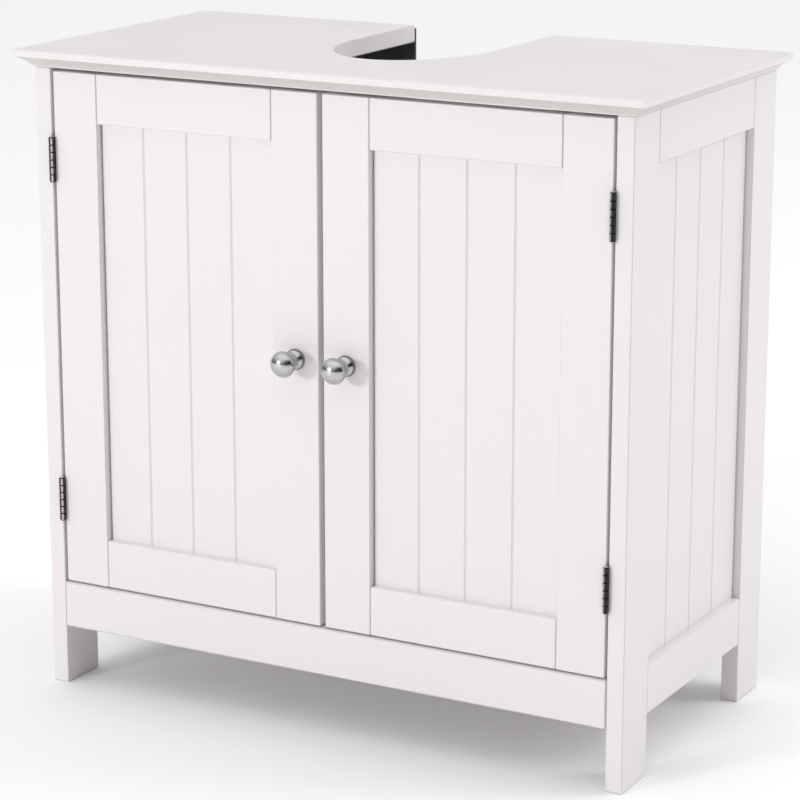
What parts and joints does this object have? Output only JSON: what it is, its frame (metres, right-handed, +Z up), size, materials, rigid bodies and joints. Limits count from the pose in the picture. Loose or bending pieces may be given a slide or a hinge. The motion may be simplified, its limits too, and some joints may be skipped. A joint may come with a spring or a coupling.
{
  "type": "bathroom vanity cabinet",
  "caption": "White painted under-basin cabinet with beaded panels, hinged doors with round knobs, a moulded top with a U-shaped pedestal cut-out, and a back open in the middle for pipes.",
  "frame": {"origin": "on the floor, at the middle of the whole object's width and depth (knob tips to back strips)", "axes": "+Z up; the doors face -Y; +X to the right as seen by someone facing the doors"},
  "size_m": [0.62, 0.3386, 0.6],
  "materials": {
    "white_paint": "satin white paint on fibreboard",
    "grey_fibreboard": "unpainted dark grey thin fibreboard",
    "brushed_nickel": "brushed nickel plate",
    "dark_steel": "dark antique steel",
    "zinc": "dull zinc plate",
    "white_plastic": "matt moulded",
    "beech": "bare beech"
  },
  "bodies": {
    "cabinet": {"top_board": "white_paint", "left_front_leg": "white_paint", "left_rear_leg": "white_paint", "left_top_rail": "white_paint", "left_bottom_rail": "white_paint", "left_bead_panel": "white_paint", "right_front_leg": "white_paint", "right_rear_leg": "white_paint", "right_top_rail": "white_paint", "right_bottom_rail": "white_paint", "right_bead_panel": "white_paint", "front_bottom_rail": "white_paint", "rear_bottom_rail": "white_paint", "bottom_board": "white_paint", "left_back_strip": "grey_fibreboard", "left_catch": "white_plastic", "left_front_cam_lock": "zinc", "left_front_cam_bolt": "zinc", "left_front_dowel": "beech", "left_rear_cam_lock": "zinc", "left_rear_cam_bolt": "zinc", "left_rear_dowel": "beech", "left_upper_hinge_frame_leaf": "dark_steel", "left_upper_hinge_pin": "dark_steel", "left_lower_hinge_frame_leaf": "dark_steel", "left_lower_hinge_pin": "dark_steel", "right_back_strip": "grey_fibreboard", "right_catch": "white_plastic", "right_front_cam_lock": "zinc", "right_front_cam_bolt": "zinc", "right_front_dowel": "beech", "right_rear_cam_lock": "zinc", "right_rear_cam_bolt": "zinc", "right_rear_dowel": "beech", "right_upper_hinge_frame_leaf": "dark_steel", "right_upper_hinge_pin": "dark_steel", "right_lower_hinge_frame_leaf": "dark_steel", "right_lower_hinge_pin": "dark_steel"},
    "left_door": {"left_door_hinge_stile": "white_paint", "left_door_knob_stile": "white_paint", "left_door_top_rail": "white_paint", "left_door_bottom_rail": "white_paint", "left_door_bead_panel": "white_paint", "left_knob": "brushed_nickel", "left_knob_screw": "zinc", "left_strike_plate": "zinc", "left_upper_hinge_door_leaf": "dark_steel", "left_lower_hinge_door_leaf": "dark_steel"},
    "right_door": {"right_door_hinge_stile": "white_paint", "right_door_knob_stile": "white_paint", "right_door_top_rail": "white_paint", "right_door_bottom_rail": "white_paint", "right_door_bead_panel": "white_paint", "right_knob": "brushed_nickel", "right_knob_screw": "zinc", "right_strike_plate": "zinc", "right_upper_hinge_door_leaf": "dark_steel", "right_lower_hinge_door_leaf": "dark_steel"}
  },
  "joints": [
    {"name": "left_door_hinge", "type": "hinge", "parent": "cabinet", "child": "left_door", "pos_m": [-0.27775, -0.1416, 0.3415], "axis": [0, 0, -1], "range_deg": [0, 170]},
    {"name": "right_door_hinge", "type": "hinge", "parent": "cabinet", "child": "right_door", "pos_m": [0.27775, -0.1416, 0.3415], "axis": [0, 0, 1], "range_deg": [0, 170]}
  ]
}
